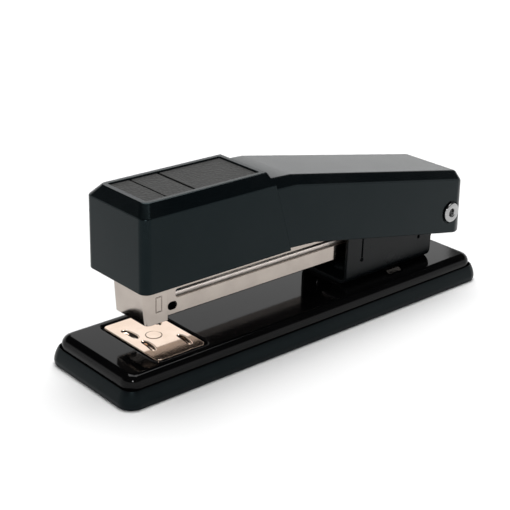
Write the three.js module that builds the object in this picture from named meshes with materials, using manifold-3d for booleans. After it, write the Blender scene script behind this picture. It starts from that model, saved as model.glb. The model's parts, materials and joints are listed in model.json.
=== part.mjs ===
// Full-strip desk stapler, as the separate pieces that it is put together from.
// Units are millimetres and +Z is up. X runs along the stapler with the nose at -X and the
// tail at +X, and Y runs across it. The origin is the centre of the footprint, on the surface
// that the stapler stands on. The stapler is shown at rest: magazine lifted, head closed.
import * as THREE from 'three';
import { mergeVertices } from 'three/addons/utils/BufferGeometryUtils.js';
import Module from 'manifold-3d';

const wasm = await Module();
wasm.setup();

// ---- driving dimensions ----

// Sole: a moulded tray that the pressed steel base sits in.
const SOLE_LENGTH = 168;
const SOLE_WIDTH = 45;
const SOLE_CORNER = 5.5;
const SOLE_HEIGHT = 6.2;
const SOLE_DRAFT = [[0.8, 0], [0.1, 0.8], [0, 1.8], [0.3, 3.5], [1, 5.2], [1.6, SOLE_HEIGHT]];
const SOLE_FLOOR = 1.6;
const SOLE_RIM = 1.9;
const SOLE_BUTTON_HOLE = 5.8;

// Steel base: an inverted tray with a rounded shoulder and a recess for the anvil.
const BASE_LENGTH = 163.8;
const BASE_WIDTH = 40.8;
const BASE_CORNER = 4.9;
const BASE_TOP = 10.5;
const BASE_SHOULDER = 3.2;
const BASE_SHEET = 1.2;
const BASE_FOOT = 1.9;
const RECESS_MARGIN = 1.1;
const RECESS_FLOOR = 8.9;
const RECESS_CORNER = 2.6;

// Anvil: a flat plate with grooves that bend the staple legs, on a sprung post.
const ANVIL_X = -57.3;
const ANVIL_LENGTH = 19.8;
const ANVIL_WIDTH = 30.4;
const ANVIL_CORNER = 1.8;
const ANVIL_TOP = 10.4;
const ANVIL_THICKNESS = 1.2;
const GROOVE_LENGTH = 7.4;
const GROOVE_WIDTH = 2;
const GROOVE_DEPTH = 0.6;
const CLINCH_OFFSET = [-5.9, 4.9];
const PINNING_OFFSET = [6, 8.6];
const GROOVE_TURN = 0.1;
const POST_RADIUS = 1.7;
const POST_HEAD = { radius: 2.6, depth: 0.45, proud: 0.1, dish: 0.3 };
const POST_HEAD_GAP = 0.15;
const BUTTON_RADIUS = 5.2;
const BUTTON_BOTTOM = 0.9;
const BUTTON_THICKNESS = 1.3;
const ANVIL_SPRING_RADIUS = 3.1;
const ANVIL_SPRING_WIRE = 0.35;
const WIRE_CURVE_SEGMENTS = 3;

// Pivot: one rivet, cupped at both ends, carries the magazine and the head.
const PIVOT_X = 71.2;
const PIVOT_Z = 28.6;
const PIN_RADIUS = 2.5;
const PIN_GAP = 0.15;
const EYELET_RADIUS = 3.8;
const EYELET_HEIGHT = 1.1;
const EYELET_CUP = { radius: 1.35, floorRadius: 1.2, depth: 2.2 };
const EYELET_GROOVE = { inner: 3.3, outer: 4.4, depth: 0.7 };
const EYELET_ROLL = 0.5;
const BUSH_RADIUS = 3.5;

// Bracket: a U of sheet steel riveted to the base.
const BRACKET_FRONT = 20.4;
const BRACKET_REAR = 65.8;
const BRACKET_HALF_WIDTH = 11.5;
const BRACKET_SHEET = 1.3;
const BRACKET_BEND = 3.2;
const BRACKET_TOP_FRONT = 31.6;
const BRACKET_EAR = 6.2;
const SLIT_X = 28;
const SLIT_WIDTH = 0.7;
const SLIT_BOTTOM = 18.9;
const BEND_WINDOW = { front: 43.5, rear: 51.5, depth: 2.6, height: 2.4 };
const DIMPLE = { x: 58.6, z: 20.4, radius: 0.7 };
const BRACKET_THROAT_Z = 19.6;
const RIVET_X = [30, 58];
const RIVET_RADIUS = 2;
const RIVET_HEAD_RADIUS = 3.2;
const RIVET_HEAD_HEIGHT = 1.4;
const RIVET_TAIL_RADIUS = 2.9;
const RIVET_TAIL_HEIGHT = 0.9;
const RIVET_HOLE_GAP = 0.05;
const SEAT_GAP = 0.1;
const LIFT_SPRING = { rear: 54, front: 24.5, width: 9, thickness: 0.5 };

// Magazine: a U channel with a long window in each wall, around an inner staple rail.
const CHANNEL_FRONT = -62.4;
const CHANNEL_HALF_WIDTH = 7.9;
const CHANNEL_SHEET = 0.9;
const CHANNEL_BOTTOM = 20.2;
const CHANNEL_TOP = 31.5;
const CHANNEL_EAR = 5.2;
const CHANNEL_EAR_FRONT = 59.2;
const WINDOW = { front: -54.4, rear: 28, bottom: 25.9, top: 28.9, corner: 0.8 };
const OVAL_HOLE = { x: -55.7, z: 23.5, length: 3.7, height: 2.8 };
const HOUSING = { front: -66.6, rear: -58.2, bottom: 19.35, top: 32, halfWidth: 8.8, sheet: 0.8 };
const HOUSING_CORNER = 1.6;
const HOUSING_LEAN = 0.9;
const RAIL_HALF_WIDTH = 6.5;
const RAIL_TOP = 27.3;
const RAIL_REAR = 58;
const RAIL_SHEET = 0.8;
const RAIL_SLOT_HALF = 1.4;
const RAIL_NOTCH = { front: -61, rear: -53, top: 25.3 };
const ROD_RADIUS = 1.1;
const ROD_Z = 24;
const ROD_HOLE_GAP = 0.05;
const RAIL_END_LENGTH = 3.5;
const SLIDE_GAP = 0.3;
const PUSHER_FRONT = -61.2;
const PUSHER_LENGTH = 10;
const PUSHER_TOP = 29.6;
const PUSHER_SPRING_RADIUS = 1.75;
const PUSHER_SPRING_WIRE = 0.28;

// Head: a front cap and a rear cover over a steel arm that carries the driver.
const HEAD_HALF_WIDTH = 15.45;
const HEAD_WALL = 1.7;
const CAP_FRONT = -72.35;
const CAP_BOTTOM = 33.75;
const CAP_TOP = 62.3;
const CAP_CORNER = 3;
const CAP_CHAMFER = { front: 2.9, side: 3.65, height: 3.8 };
const PANEL_DEPTH = 1.1;
const PANEL_RECESS = [-67.3, -22.2];
const PANEL_HALF_WIDTH = 9.9;
const PANEL_SPLITS = [-59.1, -48];
const PANEL_GROOVES = [0.6, 1];
const PANEL_CORNER = 0.6;
const PANEL_GAP = 0.1;
const PANEL_SUNK = 0.55;
const SEAM_X = -11.4;
const SEAM_LEAN = 17.6;
const SEAM_GAP = 0.15;
const COVER_REAR = 78;
const COVER_REAR_LEAN = 1.5;
const COVER_REAR_CORNER = 4;
const COVER_REAR_BEND = 3.2;
const COVER_REAR_FOOT = 1.3;
const COVER_SHOULDER = { width: 3.15, height: 2.8 };
const COVER_TOP_LINE = [[-26, 60.3], [-10.2, 59.7], [COVER_REAR, 43.2]];
const COVER_BOTTOM_LINE = [[-26, 34.8], [-11.4, 34.7], [0, 34], [COVER_REAR, 18.8]];
const REAR_WALL_BOTTOM = 37.8;
const REAR_OPENING_HALF = 12.2;
const ARM = { front: -66, rear: 62, topFront: 42.9, topRear: 38.8, sheet: 1.2 };
const ARM_HALF_WIDTH = 9.3;
const ARM_SIDE_SHEET = 1;
const ARM_SIDE_FRONT = -48;
const ARM_SIDE_KINK = 45.2;
const ARM_SIDE_BOTTOM = [36.8, 33];
const ARM_EAR = 5.6;
const DRIVER_X = -64.6;
const DRIVER_THICKNESS = 0.6;
const DRIVER_WIDTH = 12.8;
const DRIVER_BOTTOM = 28.2;
const CLAMP_LENGTH = 9;
const CLAMP_HEIGHT = 2.2;
const CAP_SCREW_X = [-44, -28];
const CAP_SCREW_RADIUS = 1.3;
const CAP_SCREW_HEAD_RADIUS = 2.6;
const CAP_SCREW_HOLE_RADIUS = 1.5;
const CAP_SCREW_LENGTH = 7;
const BOSS_RADIUS = 3.4;
const HEAD_SPRING = { rear: 24, front: -34, width: 10, thickness: 0.5 };

// Colours.
const BLACK_PLASTIC = { color: 0x16191b, roughness: 0.36, metalness: 0 };
const BLACK_PAINT = { color: 0x0b0c0e, roughness: 0.12, metalness: 0 };
const BLACK_STEEL = { color: 0x121416, roughness: 0.3, metalness: 0.3 };
const TEXTURED = { color: 0x2b2c2c, roughness: 0.85, metalness: 0 };
const NICKEL = { color: 0xbdb2a8, roughness: 0.2, metalness: 1 };
const STEEL = { color: 0x9a9a98, roughness: 0.35, metalness: 1 };

// ---- solids ----

function toSolid(geometry) {
  const bare = geometry.clone();
  bare.deleteAttribute('normal');
  bare.deleteAttribute('uv');
  const merged = mergeVertices(bare);
  const vertProperties = Float32Array.from(merged.attributes.position.array);
  const triVerts = Uint32Array.from(merged.index.array);
  return new wasm.Manifold(new wasm.Mesh({ numProp: 3, vertProperties, triVerts }));
}

function toGeometry(solid) {
  const mesh = solid.getMesh();
  const geometry = new THREE.BufferGeometry();
  geometry.setAttribute('position', new THREE.BufferAttribute(mesh.vertProperties, 3));
  geometry.setIndex(new THREE.BufferAttribute(mesh.triVerts, 1));
  return geometry;
}

function join(first, ...others) {
  const joined = others.reduce((solid, other) => solid.add(toSolid(other)), toSolid(first));
  return toGeometry(joined);
}

function cut(stock, ...tools) {
  const left = tools.reduce((solid, tool) => solid.subtract(toSolid(tool)), toSolid(stock));
  return toGeometry(left);
}

function common(first, second) {
  return toGeometry(toSolid(first).intersect(toSolid(second)));
}

function box(x0, x1, y0, y1, z0, z1) {
  const geometry = new THREE.BoxGeometry(x1 - x0, y1 - y0, z1 - z0);
  return geometry.translate((x0 + x1) / 2, (y0 + y1) / 2, (z0 + z1) / 2);
}

// A pair of boxes, one on each side, between the inner and outer distance from the middle.
function sideBoxes(x0, x1, inner, outer, z0, z1) {
  return [box(x0, x1, -outer, -inner, z0, z1), box(x0, x1, inner, outer, z0, z1)];
}

function polygon(points) {
  return new THREE.Shape(points.map(([a, b]) => new THREE.Vector2(a, b)));
}

// A rectangle with rounded corners, centred on (a, b).
function roundedRectangle(a, b, length, width, radius) {
  const shape = new THREE.Shape();
  const right = a + length / 2 - radius;
  const left = a - length / 2 + radius;
  const top = b + width / 2 - radius;
  const bottom = b - width / 2 + radius;
  shape.absarc(right, bottom, radius, -Math.PI / 2, 0, false);
  shape.absarc(right, top, radius, 0, Math.PI / 2, false);
  shape.absarc(left, top, radius, Math.PI / 2, Math.PI, false);
  shape.absarc(left, bottom, radius, Math.PI, 1.5 * Math.PI, false);
  shape.closePath();
  return shape;
}

// A plan outline in X and Y, raised from z0 to z1.
function raise(shape, z0, z1, curveSegments = 3) {
  const options = { depth: z1 - z0, bevelEnabled: false, curveSegments };
  return new THREE.ExtrudeGeometry(shape, options).translate(0, 0, z0);
}

// A plan outline raised from z0 to z1 with its top and bottom edges rounded.
function raiseRounded(shape, z0, z1, edge, curveSegments = 3) {
  const options = {
    depth: z1 - z0 - 2 * edge,
    bevelThickness: edge,
    bevelSize: edge,
    bevelOffset: -edge,
    bevelSegments: 3,
    curveSegments,
  };
  return new THREE.ExtrudeGeometry(shape, options).translate(0, 0, z0 + edge);
}

// A side outline in X and Z, extended across Y from -halfWidth to halfWidth.
function across(shape, halfWidth, curveSegments = 3) {
  const options = { depth: 2 * halfWidth, bevelEnabled: false, curveSegments };
  const geometry = new THREE.ExtrudeGeometry(shape, options);
  return geometry.rotateX(Math.PI / 2).translate(0, halfWidth, 0);
}

// A cross-section in Y and Z, extended along X from x0 to x1.
function along(shape, x0, x1, curveSegments = 3) {
  const options = { depth: x1 - x0, bevelEnabled: false, curveSegments };
  const geometry = new THREE.ExtrudeGeometry(shape, options);
  const basis = new THREE.Matrix4().makeBasis(
    new THREE.Vector3(0, 1, 0),
    new THREE.Vector3(0, 0, 1),
    new THREE.Vector3(1, 0, 0),
  );
  return geometry.applyMatrix4(basis).translate(x0, 0, 0);
}

// An outline carried through a list of stations: place(station, a, b) gives each point.
function sweep(shape, stations, place, curveSegments = 3) {
  const steps = stations.length - 1;
  const options = { depth: steps, steps, bevelEnabled: false, curveSegments };
  const geometry = new THREE.ExtrudeGeometry(shape, options);
  const position = geometry.attributes.position;
  for (let i = 0; i < position.count; i += 1) {
    const station = stations[Math.round(position.getZ(i))];
    const point = place(station, position.getX(i), position.getY(i));
    position.setXYZ(i, point[0], point[1], point[2]);
  }
  return geometry;
}

function cylinderAcross(radius, y0, y1, x, z, segments = 20) {
  const geometry = new THREE.CylinderGeometry(radius, radius, y1 - y0, segments);
  return geometry.translate(x, (y0 + y1) / 2, z);
}

function cylinderUp(radius, z0, z1, x, y, segments = 20) {
  const geometry = new THREE.CylinderGeometry(radius, radius, z1 - z0, segments);
  return geometry.rotateX(Math.PI / 2).translate(x, y, (z0 + z1) / 2);
}

// A solid of revolution about a vertical axis through (x, y), from [radius, z] points.
function turned(points, x, y, segments = 20) {
  const profile = points.map(([radius, z]) => new THREE.Vector2(radius, z));
  const geometry = new THREE.LatheGeometry(profile, segments);
  return geometry.rotateX(Math.PI / 2).translate(x, y, 0);
}

// A helical wire whose axis runs from start along a unit direction.
function coil({ start, axis, across1, across2, radius, wire, length, turns, stepsPerTurn }) {
  class Helix extends THREE.Curve {
    getPoint(t, target = new THREE.Vector3()) {
      const angle = 2 * Math.PI * turns * t;
      return target.copy(start)
        .addScaledVector(axis, length * t)
        .addScaledVector(across1, radius * Math.cos(angle))
        .addScaledVector(across2, radius * Math.sin(angle));
    }
  }
  const section = new THREE.Shape();
  section.absarc(0, 0, wire, 0, 2 * Math.PI, false);
  const options = {
    steps: turns * stepsPerTurn,
    extrudePath: new Helix(),
    curveSegments: WIRE_CURVE_SEGMENTS,
    bevelEnabled: false,
  };
  return new THREE.ExtrudeGeometry(section, options);
}

// A strip of spring steel whose side profile is a cosine rise from [x0, z0] to [x1, z1].
function leafSpring(x0, z0, x1, z1, width, thickness, steps = 10) {
  const upper = [];
  const lower = [];
  for (let i = 0; i <= steps; i += 1) {
    const t = i / steps;
    const x = x0 + (x1 - x0) * t;
    const z = z0 + (z1 - z0) * (1 - Math.cos(Math.PI * t)) / 2;
    upper.push([x, z + thickness]);
    lower.unshift([x, z]);
  }
  return across(polygon([...lower, ...upper]), width / 2);
}

function pinHole() {
  const reach = SOLE_WIDTH / 2;
  return cylinderAcross(PIN_RADIUS + PIN_GAP, -reach, reach, PIVOT_X, PIVOT_Z, 24);
}

function lineHeight(line, x) {
  const i = Math.max(1, line.findIndex(([end]) => end >= x));
  const [x0, z0] = line[i - 1];
  const [x1, z1] = line[i];
  return z0 + (z1 - z0) * (x - x0) / (x1 - x0);
}

// ---- base ----

// The outside is drafted: each step of the draft gives an inset and a height.
function soleGeometry() {
  const outline = roundedRectangle(0, 0, SOLE_LENGTH, SOLE_WIDTH, SOLE_CORNER);
  const stock = sweep(outline, SOLE_DRAFT, ([inset, z], x, y) => [
    x * (1 - 2 * inset / SOLE_LENGTH), y * (1 - 2 * inset / SOLE_WIDTH), z,
  ]);
  const pocketShape = roundedRectangle(
    0, 0, SOLE_LENGTH - 2 * SOLE_RIM, SOLE_WIDTH - 2 * SOLE_RIM, SOLE_CORNER - SOLE_RIM / 2,
  );
  const pocket = raise(pocketShape, SOLE_FLOOR, SOLE_HEIGHT + 1);
  const buttonHole = cylinderUp(SOLE_BUTTON_HOLE, -1, SOLE_FLOOR + 1, ANVIL_X, 0);
  return cut(stock, pocket, buttonHole);
}

function steelBaseGeometry() {
  const outline = roundedRectangle(0, 0, BASE_LENGTH, BASE_WIDTH, BASE_CORNER);
  const outer = raiseRounded(outline, BASE_FOOT - 2 * BASE_SHOULDER, BASE_TOP, BASE_SHOULDER);
  const below = box(-SOLE_LENGTH, SOLE_LENGTH, -SOLE_WIDTH, SOLE_WIDTH, -SOLE_HEIGHT, BASE_FOOT);
  const inside = roundedRectangle(
    0, 0, BASE_LENGTH - 2 * BASE_SHEET, BASE_WIDTH - 2 * BASE_SHEET, BASE_CORNER - BASE_SHEET,
  );
  const innerEdge = BASE_SHOULDER - BASE_SHEET;
  const hollow = raiseRounded(inside, -innerEdge, BASE_TOP - BASE_SHEET, innerEdge, 2);
  const well = raise(recessShape(BASE_SHEET), RECESS_FLOOR - BASE_SHEET, BASE_TOP + 1);
  const recess = raise(recessShape(0), RECESS_FLOOR, BASE_TOP + 1);
  const postHole = cylinderUp(POST_RADIUS + PIN_GAP, 0, BASE_TOP + 1, ANVIL_X, 0, 16);
  const rivetHoles = rivetHoleGeometries();
  return cut(outer, below, cut(hollow, well), recess, postHole, ...rivetHoles);
}

function rivetHoleGeometries() {
  return RIVET_X.map((x) => cylinderUp(RIVET_RADIUS + RIVET_HOLE_GAP, 0, CHANNEL_BOTTOM, x, 0, 16));
}

function recessShape(extra) {
  const growth = 2 * (RECESS_MARGIN + extra);
  return roundedRectangle(
    ANVIL_X, 0, ANVIL_LENGTH + growth, ANVIL_WIDTH + growth, RECESS_CORNER + extra,
  );
}

// The bracket's cross-section: a U whose lower corners are bent to a radius.
function bracketSection(bottom, top) {
  const half = BRACKET_HALF_WIDTH;
  const bend = BRACKET_BEND;
  const inner = bend - BRACKET_SHEET;
  const section = new THREE.Shape();
  section.moveTo(-half, top);
  section.absarc(-half + bend, bottom + bend, bend, Math.PI, 1.5 * Math.PI, false);
  section.absarc(half - bend, bottom + bend, bend, -Math.PI / 2, 0, false);
  section.lineTo(half, top);
  section.lineTo(half - BRACKET_SHEET, top);
  section.absarc(half - bend, bottom + bend, inner, 0, -Math.PI / 2, true);
  section.absarc(-half + bend, bottom + bend, inner, 1.5 * Math.PI, Math.PI, true);
  section.lineTo(-half + BRACKET_SHEET, top);
  return section;
}

function bracketGeometry() {
  const bottom = BASE_TOP + 0.05;
  const top = PIVOT_Z + 2 * BRACKET_EAR;
  const reach = BRACKET_HALF_WIDTH + 1;
  const section = bracketSection(bottom, top);
  const channel = along(section, BRACKET_FRONT, PIVOT_X + BRACKET_EAR + 1);
  const earEdge = BRACKET_EAR * Math.SQRT1_2;
  const side = across(polygon([
    [BRACKET_FRONT, bottom - 1], [BRACKET_REAR, bottom - 1], [BRACKET_REAR, BRACKET_THROAT_Z],
    [PIVOT_X + earEdge, PIVOT_Z - earEdge], [PIVOT_X, PIVOT_Z + BRACKET_EAR],
    [BRACKET_FRONT, BRACKET_TOP_FRONT],
  ]), reach);
  const ear = cylinderAcross(BRACKET_EAR, -reach, reach, PIVOT_X, PIVOT_Z, 28);
  const halfSlit = SLIT_WIDTH / 2;
  const slit = box(SLIT_X - halfSlit, SLIT_X + halfSlit, -reach, reach, SLIT_BOTTOM, top);
  const slitEnd = cylinderAcross(0.8, -reach, reach, SLIT_X, SLIT_BOTTOM, 12);
  const dimple = cylinderAcross(DIMPLE.radius, -reach, reach, DIMPLE.x, DIMPLE.z, 12);
  const { front, rear, depth, height } = BEND_WINDOW;
  const inner = BRACKET_HALF_WIDTH - depth;
  const windows = sideBoxes(front, rear, inner, reach, bottom - 1, bottom + height);
  return cut(
    common(channel, join(side, ear)),
    pinHole(), slit, slitEnd, dimple, ...windows, ...rivetHoleGeometries(),
  );
}

function bracketRivetGeometry(x) {
  const seat = BASE_TOP + BRACKET_SHEET + SEAT_GAP;
  const underside = BASE_TOP - BASE_SHEET - 0.05;
  const tail = underside - RIVET_TAIL_HEIGHT;
  const crown = seat + RIVET_HEAD_HEIGHT;
  return turned([
    [0, tail], [RIVET_TAIL_RADIUS - 0.5, tail], [RIVET_TAIL_RADIUS, underside],
    [RIVET_RADIUS, underside], [RIVET_RADIUS, seat], [RIVET_HEAD_RADIUS, seat],
    [RIVET_HEAD_RADIUS * 0.8, seat + 0.9], [RIVET_HEAD_RADIUS * 0.45, crown], [0, crown],
  ], x, 0, 16);
}

function liftSpringGeometry() {
  const { rear, front, width, thickness } = LIFT_SPRING;
  const floor = BASE_TOP + BRACKET_SHEET + SEAT_GAP;
  return leafSpring(rear, floor, front, CHANNEL_BOTTOM - thickness - 0.2, width, thickness);
}

// A rivet whose ends are rolled over into a domed ring round a shallow cup.
function pivotRivetGeometry() {
  const reach = HEAD_HALF_WIDTH + SEAT_GAP;
  const outer = reach + EYELET_HEIGHT;
  const cup = EYELET_CUP;
  const rolled = cup.radius + EYELET_ROLL;
  const lip = EYELET_RADIUS;
  const halfProfile = [
    [PIN_RADIUS, reach], [lip, reach], [lip, reach + 0.35], [lip - 1, outer - 0.1],
    [rolled, outer], [cup.radius, outer - 0.2], [cup.floorRadius, outer - cup.depth],
    [0, outer - cup.depth],
  ];
  const mirrored = halfProfile.map(([radius, y]) => [radius, -y]).reverse();
  const profile = [...mirrored, ...halfProfile].map(([radius, y]) => new THREE.Vector2(radius, y));
  return new THREE.LatheGeometry(profile, 28).translate(PIVOT_X, 0, PIVOT_Z);
}

function pivotBushGeometry(side) {
  const inner = side * (BRACKET_HALF_WIDTH + SEAT_GAP);
  const outer = side * (HEAD_HALF_WIDTH - HEAD_WALL - PIN_GAP);
  const y0 = Math.min(inner, outer);
  const y1 = Math.max(inner, outer);
  return cut(cylinderAcross(BUSH_RADIUS, y0, y1, PIVOT_X, PIVOT_Z, 24), pinHole());
}

// ---- anvil ----

function grooveGeometry([dx, dy], turn) {
  const shape = roundedRectangle(0, 0, GROOVE_WIDTH, GROOVE_LENGTH, GROOVE_WIDTH * 0.49);
  const groove = raise(shape, ANVIL_TOP - GROOVE_DEPTH, ANVIL_TOP + 1, 2);
  return groove.rotateZ(turn).translate(ANVIL_X + dx, dy, 0);
}

function anvilPlateGeometry() {
  const outline = roundedRectangle(ANVIL_X, 0, ANVIL_LENGTH, ANVIL_WIDTH, ANVIL_CORNER);
  const stock = raiseRounded(outline, ANVIL_TOP - ANVIL_THICKNESS, ANVIL_TOP, 0.25, 2);
  const grooves = [-1, 1].flatMap((side) => [
    grooveGeometry([CLINCH_OFFSET[0], side * CLINCH_OFFSET[1]], side * GROOVE_TURN),
    grooveGeometry([PINNING_OFFSET[0], side * PINNING_OFFSET[1]], side * GROOVE_TURN),
  ]);
  const hole = cylinderUp(POST_RADIUS + 0.05, 0, BASE_TOP + 2, ANVIL_X, 0, 16);
  const seat = ANVIL_TOP - POST_HEAD.depth;
  const sink = cylinderUp(POST_HEAD.radius + POST_HEAD_GAP, seat, BASE_TOP + 2, ANVIL_X, 0, 24);
  return cut(stock, ...grooves, hole, sink);
}

function anvilPostGeometry() {
  const { radius, depth, proud, dish } = POST_HEAD;
  const foot = BUTTON_BOTTOM + BUTTON_THICKNESS + 0.05;
  const seat = ANVIL_TOP - depth + 0.05;
  const crown = ANVIL_TOP + proud;
  return turned([
    [0, foot], [POST_RADIUS, foot], [POST_RADIUS, seat], [radius, seat],
    [radius, crown - 0.1], [radius - 0.1, crown], [radius * 0.5, crown],
    [radius * 0.35, crown - dish], [0, crown - dish],
  ], ANVIL_X, 0, 24);
}

function anvilButtonGeometry() {
  const top = BUTTON_BOTTOM + BUTTON_THICKNESS;
  const edge = BUTTON_RADIUS - 0.5;
  return turned([
    [0, BUTTON_BOTTOM], [edge, BUTTON_BOTTOM], [BUTTON_RADIUS, BUTTON_BOTTOM + 0.5],
    [BUTTON_RADIUS, top], [0, top],
  ], ANVIL_X, 0, 24);
}

function anvilSpringGeometry() {
  const clearance = ANVIL_SPRING_WIRE + SEAT_GAP;
  const bottom = BUTTON_BOTTOM + BUTTON_THICKNESS + clearance;
  const top = RECESS_FLOOR - BASE_SHEET - clearance;
  return coil({
    start: new THREE.Vector3(ANVIL_X, 0, bottom),
    axis: new THREE.Vector3(0, 0, 1),
    across1: new THREE.Vector3(1, 0, 0),
    across2: new THREE.Vector3(0, 1, 0),
    radius: ANVIL_SPRING_RADIUS,
    wire: ANVIL_SPRING_WIRE,
    length: top - bottom,
    turns: 4,
    stepsPerTurn: 12,
  });
}

// ---- magazine ----

function channelGeometry() {
  const half = CHANNEL_HALF_WIDTH;
  const inner = half - CHANNEL_SHEET;
  const earTop = PIVOT_Z + CHANNEL_EAR;
  const rear = PIVOT_X + CHANNEL_EAR;
  const side = across(polygon([
    [CHANNEL_FRONT, CHANNEL_BOTTOM], [PIVOT_X + 1, CHANNEL_BOTTOM],
    [rear, PIVOT_Z - 2], [rear, PIVOT_Z + 1.5], [PIVOT_X + 2.5, earTop],
    [PIVOT_X - 7, earTop], [CHANNEL_EAR_FRONT, CHANNEL_TOP], [CHANNEL_FRONT, CHANNEL_TOP],
  ]), half);
  const trough = box(
    CHANNEL_FRONT - 1, COVER_REAR, -inner, inner, CHANNEL_BOTTOM + CHANNEL_SHEET, earTop + 1,
  );
  const windowShape = roundedRectangle(
    (WINDOW.front + WINDOW.rear) / 2, (WINDOW.bottom + WINDOW.top) / 2,
    WINDOW.rear - WINDOW.front, WINDOW.top - WINDOW.bottom, WINDOW.corner,
  );
  const oval = roundedRectangle(
    OVAL_HOLE.x, OVAL_HOLE.z, OVAL_HOLE.length, OVAL_HOLE.height, OVAL_HOLE.height * 0.49,
  );
  return cut(side, trough, across(windowShape, half + 1), across(oval, half + 1, 5), pinHole());
}

function housingGeometry() {
  const { front, rear, bottom, top, halfWidth, sheet } = HOUSING;
  const outer = roundedRectangle(
    (front + rear + HOUSING_CORNER) / 2, 0,
    rear - front + HOUSING_CORNER, 2 * halfWidth, HOUSING_CORNER,
  );
  const inner = roundedRectangle(
    (front + rear) / 2 + sheet, 0,
    rear - front, 2 * (halfWidth - sheet), HOUSING_CORNER - sheet,
  );
  const stations = [bottom, top];
  const lean = (z, x, y) => {
    const share = (z - bottom) / (top - bottom);
    const forward = x < rear - 1 ? HOUSING_LEAN * share : 0;
    return [x - forward, y, z];
  };
  const block = sweep(outer, stations, lean);
  const cavity = sweep(inner, [bottom - 1, top + 1], lean);
  const behind = box(rear, rear + 10, -halfWidth - 1, halfWidth + 1, bottom - 1, top + 1);
  const open = box(rear - 3, rear + 10, -halfWidth + sheet, halfWidth - sheet, bottom - 1, top + 1);
  return cut(block, cavity, open, behind);
}

function railGeometry() {
  const bottom = CHANNEL_BOTTOM + CHANNEL_SHEET + SEAT_GAP;
  const half = RAIL_HALF_WIDTH;
  const front = CHANNEL_FRONT + 0.2;
  const stock = box(front, RAIL_REAR, -half, half, bottom, RAIL_TOP);
  const inside = box(
    front + RAIL_SHEET, RAIL_REAR + 1, -half + RAIL_SHEET, half - RAIL_SHEET,
    bottom - 1, RAIL_TOP - RAIL_SHEET,
  );
  const slot = box(
    front + RAIL_SHEET + 1, RAIL_REAR - 4, -RAIL_SLOT_HALF, RAIL_SLOT_HALF,
    RAIL_TOP - 2, RAIL_TOP + 1,
  );
  const { top } = RAIL_NOTCH;
  const notch = box(RAIL_NOTCH.front, RAIL_NOTCH.rear, -half - 1, half + 1, bottom - 1, top);
  const rodHole = rodCylinder(ROD_RADIUS + ROD_HOLE_GAP, front - 1, front + 2);
  return cut(stock, inside, slot, notch, rodHole);
}

function rodCylinder(radius, x0, x1) {
  const geometry = new THREE.CylinderGeometry(radius, radius, x1 - x0, 12);
  return geometry.rotateZ(Math.PI / 2).translate((x0 + x1) / 2, 0, ROD_Z);
}

function railEndGeometry() {
  const bottom = CHANNEL_BOTTOM + CHANNEL_SHEET + SEAT_GAP;
  const half = CHANNEL_HALF_WIDTH - CHANNEL_SHEET - SEAT_GAP;
  const front = RAIL_REAR + SEAT_GAP;
  const block = box(front, front + RAIL_END_LENGTH, -half, half, bottom, RAIL_TOP);
  return cut(block, rodCylinder(ROD_RADIUS + ROD_HOLE_GAP, RAIL_REAR - 1, RAIL_REAR + 5));
}

function rodGeometry() {
  return rodCylinder(ROD_RADIUS, CHANNEL_FRONT + 0.4, RAIL_REAR + RAIL_END_LENGTH - 0.3);
}

// A plate over the rail, a web down through the rail's slot, and a block that runs on the rod.
function pusherGeometry() {
  const front = PUSHER_FRONT;
  const rear = front + PUSHER_LENGTH;
  const bottom = CHANNEL_BOTTOM + CHANNEL_SHEET + SLIDE_GAP + SEAT_GAP;
  const half = CHANNEL_HALF_WIDTH - CHANNEL_SHEET - SLIDE_GAP;
  const plate = box(front, rear, -half, half, RAIL_TOP + SLIDE_GAP, PUSHER_TOP);
  const webFront = front + 2.4;
  const webHalf = RAIL_SLOT_HALF - SLIDE_GAP;
  const web = box(webFront, rear - 0.5, -webHalf, webHalf, ROD_Z, RAIL_TOP + 1);
  const blockHalf = RAIL_HALF_WIDTH - RAIL_SHEET - 0.4;
  const blockTop = RAIL_TOP - RAIL_SHEET - SLIDE_GAP;
  const block = box(webFront, rear - 0.5, -blockHalf, blockHalf, bottom, blockTop);
  const bore = rodCylinder(ROD_RADIUS + 0.2, front - 1, rear + 1);
  return cut(join(plate, web, block), bore);
}

function pusherSpringGeometry() {
  const front = PUSHER_FRONT + PUSHER_LENGTH;
  return coil({
    start: new THREE.Vector3(front, 0, ROD_Z),
    axis: new THREE.Vector3(1, 0, 0),
    across1: new THREE.Vector3(0, 1, 0),
    across2: new THREE.Vector3(0, 0, 1),
    radius: PUSHER_SPRING_RADIUS,
    wire: PUSHER_SPRING_WIRE,
    length: RAIL_REAR - 0.5 - front,
    turns: 16,
    stepsPerTurn: 8,
  });
}

// ---- head ----

// Everything behind the leaning seam between the cap and the rear cover.
function behindSeam(offset) {
  const reach = 120;
  const block = box(0, reach, -SOLE_WIDTH, SOLE_WIDTH, -reach / 2, reach / 2);
  const lean = THREE.MathUtils.degToRad(-SEAM_LEAN);
  return block.rotateY(lean).translate(SEAM_X + offset, 0, CAP_BOTTOM);
}

function capBlock(inset, bottom) {
  const rear = 0;
  const front = CAP_FRONT + inset;
  const half = HEAD_HALF_WIDTH - inset;
  const corner = CAP_CORNER - inset * 0.8;
  const shape = roundedRectangle((front + rear) / 2, 0, rear - front, 2 * half, corner);
  const top = CAP_TOP - inset;
  const shoulder = top - CAP_CHAMFER.height;
  const stations = [
    { z: bottom, front, half },
    { z: shoulder, front, half },
    { z: top, front: front + CAP_CHAMFER.front, half: half - CAP_CHAMFER.side },
  ];
  return sweep(shape, stations, (station, x, y) => [
    rear + (x - rear) * (rear - station.front) / (rear - front),
    y * station.half / half,
    station.z,
  ]);
}

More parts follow.
